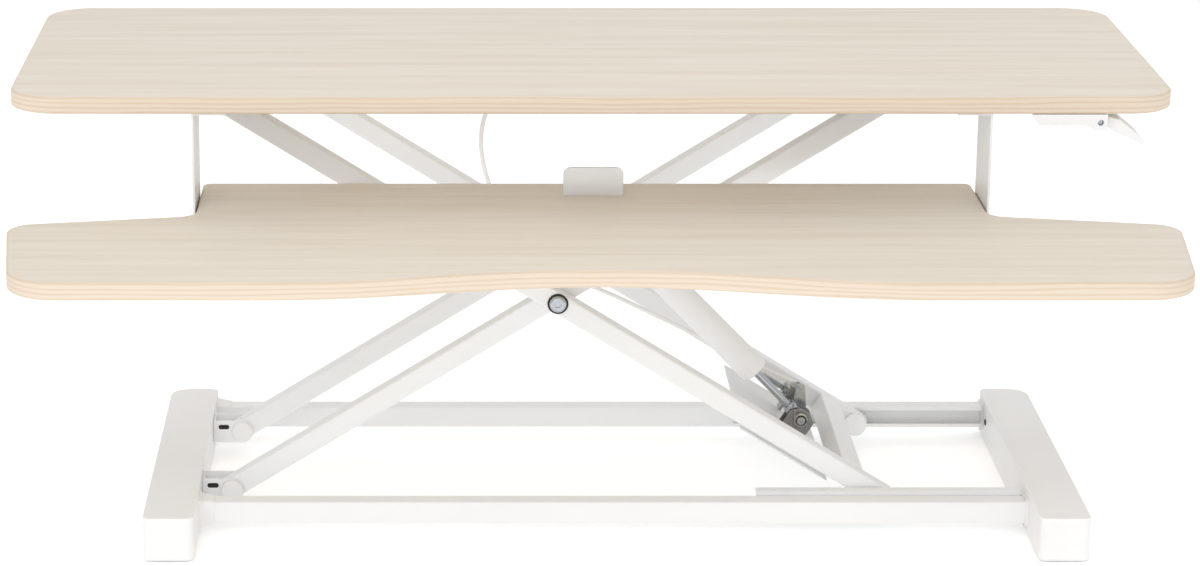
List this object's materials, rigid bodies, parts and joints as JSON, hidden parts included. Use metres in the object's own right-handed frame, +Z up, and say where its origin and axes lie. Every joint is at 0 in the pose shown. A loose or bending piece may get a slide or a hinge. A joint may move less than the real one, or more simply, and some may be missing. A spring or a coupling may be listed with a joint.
{
  "type": "sit-stand desk converter",
  "caption": "Height-adjustable desktop riser: a wide wooden top and keyboard tray on a white steel scissor lift with a lockable gas spring.",
  "frame": {"origin": "on the table that it stands on, in the middle of the whole footprint", "axes": "+X to the user's right, +Y away from the user, +Z up"},
  "size_m": [1.067, 0.637, 0.451],
  "materials": {
    "board": "pale beech laminate, satin",
    "steel": "white powder coat, fine satin",
    "plastic": "white moulded plastic, matt",
    "zinc": "zinc plated",
    "chrome": "hard chromed",
    "casting": "grey zinc casting, matt",
    "rubber": "black rubber",
    "nylon": "white nylon",
    "acrylic": "frosted acrylic",
    "cable": "white vinyl sheath"
  },
  "bodies": {
    "base": {"base_rail_front": "steel", "base_rail_rear": "steel", "foot_cover_left": "plastic", "foot_cover_right": "plastic", "foot_bar_left": "steel", "foot_bar_right": "steel", "rubber_pad_left_front": "rubber", "rubber_pad_left_rear": "rubber", "rubber_pad_right_front": "rubber", "rubber_pad_right_rear": "rubber", "lower_track_front": "steel", "lower_track_rear": "steel", "base_bracket_front": "steel", "base_bracket_rear": "steel", "base_pin_front": "zinc", "base_pin_rear": "zinc"},
    "inner_frame": {"inner_arm_front": "steel", "inner_arm_rear": "steel", "inner_cross_tube": "steel", "spring_fork": "steel", "upper_axle": "zinc"},
    "outer_frame": {"outer_arm_front": "steel", "outer_arm_rear": "steel", "outer_cross_tube": "steel", "spring_plate": "steel", "clevis": "casting", "clevis_pin": "zinc", "crossing_bolt_front": "chrome", "crossing_bolt_rear": "chrome", "crossing_washer_front": "nylon", "crossing_washer_rear": "nylon", "lower_axle_front": "zinc", "lower_axle_rear": "zinc", "adjuster_lug": "zinc", "adjuster_nut": "zinc", "adjuster_screw": "zinc"},
    "top": {"desktop_board": "board", "keyboard_tray_board": "board", "tray_hanger_left": "steel", "tray_hanger_right": "steel", "tray_stop": "acrylic", "top_bracket_front": "steel", "top_bracket_rear": "steel", "top_pin_front": "zinc", "top_pin_rear": "zinc", "upper_track_front": "steel", "upper_track_rear": "steel", "lever_housing": "steel", "lever_pin": "zinc", "release_cable": "cable"},
    "lower_roller_front": {"lower_roller_front": "nylon"},
    "lower_roller_rear": {"lower_roller_rear": "nylon"},
    "upper_roller_front": {"upper_roller_front": "nylon"},
    "upper_roller_rear": {"upper_roller_rear": "nylon"},
    "spring_rod": {"gas_spring_rod": "chrome"},
    "spring_cylinder": {"gas_spring_cover": "plastic", "gas_spring_tube": "zinc", "gas_spring_top_eye": "zinc"},
    "rocker": {"release_rocker": "casting"},
    "lever": {"height_lever": "plastic"}
  },
  "joints": [
    {"name": "lift", "type": "hinge", "parent": "base", "child": "inner_frame", "pos_m": [-0.3415, 0.15, 0.027], "axis": [0, -1, 0], "range_deg": [-23.7, 5]},
    {"name": "scissor", "type": "hinge", "parent": "inner_frame", "child": "outer_frame", "pos_m": [-0.02591, 0.15, 0.223], "axis": [0, -1, 0], "range_deg": [-10.1, 47.5]},
    {"name": "top_level", "type": "hinge", "parent": "outer_frame", "child": "top", "pos_m": [-0.3415, 0.15, 0.419], "axis": [0, -1, 0], "range_deg": [-23.8, 5.1], "deforming": ["release_cable"]},
    {"name": "spring_tilt", "type": "hinge", "parent": "outer_frame", "child": "spring_rod", "pos_m": [0.22129, 0.15, 0.06947], "axis": [0, -1, 0], "range_deg": [-1.7, 7.4]},
    {"name": "spring_stroke", "type": "slide", "parent": "spring_rod", "child": "spring_cylinder", "axis": [-0.6968, 0, 0.7173], "range_m": [-0.0467, 0.01]},
    {"name": "lever_squeeze", "type": "hinge", "parent": "top", "child": "lever", "pos_m": [0.463, -0.0515, 0.427], "axis": [0, -1, 0], "range_deg": [0, 15], "stiffness_Nm_per_rad": 0.6, "springref_deg": -20.05},
    {"name": "rocker_turn", "type": "hinge", "parent": "outer_frame", "child": "rocker", "pos_m": [0.22129, 0.15, 0.06947], "axis": [0, -1, 0], "range_deg": [-0.1, 18.1]},
    {"name": "lower_roller_front_spin", "type": "hinge", "parent": "outer_frame", "child": "lower_roller_front", "pos_m": [0.28968, 0.0199, 0.027], "axis": [0, 1, 0], "continuous": true},
    {"name": "lower_roller_rear_spin", "type": "hinge", "parent": "outer_frame", "child": "lower_roller_rear", "pos_m": [0.28968, 0.2801, 0.027], "axis": [0, 1, 0], "continuous": true},
    {"name": "upper_roller_front_spin", "type": "hinge", "parent": "inner_frame", "child": "upper_roller_front", "pos_m": [0.28968, 0.0429, 0.419], "axis": [0, 1, 0], "continuous": true},
    {"name": "upper_roller_rear_spin", "type": "hinge", "parent": "inner_frame", "child": "upper_roller_rear", "pos_m": [0.28968, 0.2571, 0.419], "axis": [0, 1, 0], "continuous": true}
  ],
  "couplings": [
    {"joint": "scissor", "follows": "lift", "ratio": -2},
    {"joint": "top_level", "follows": "lift", "ratio": 1},
    {"joint": "spring_tilt", "follows": "lift", "ratio": -0.3057},
    {"joint": "spring_stroke", "follows": "lift", "m_per_rad": 0.11204},
    {"joint": "rocker_turn", "follows": "lever_squeeze", "ratio": 1.2}
  ]
}
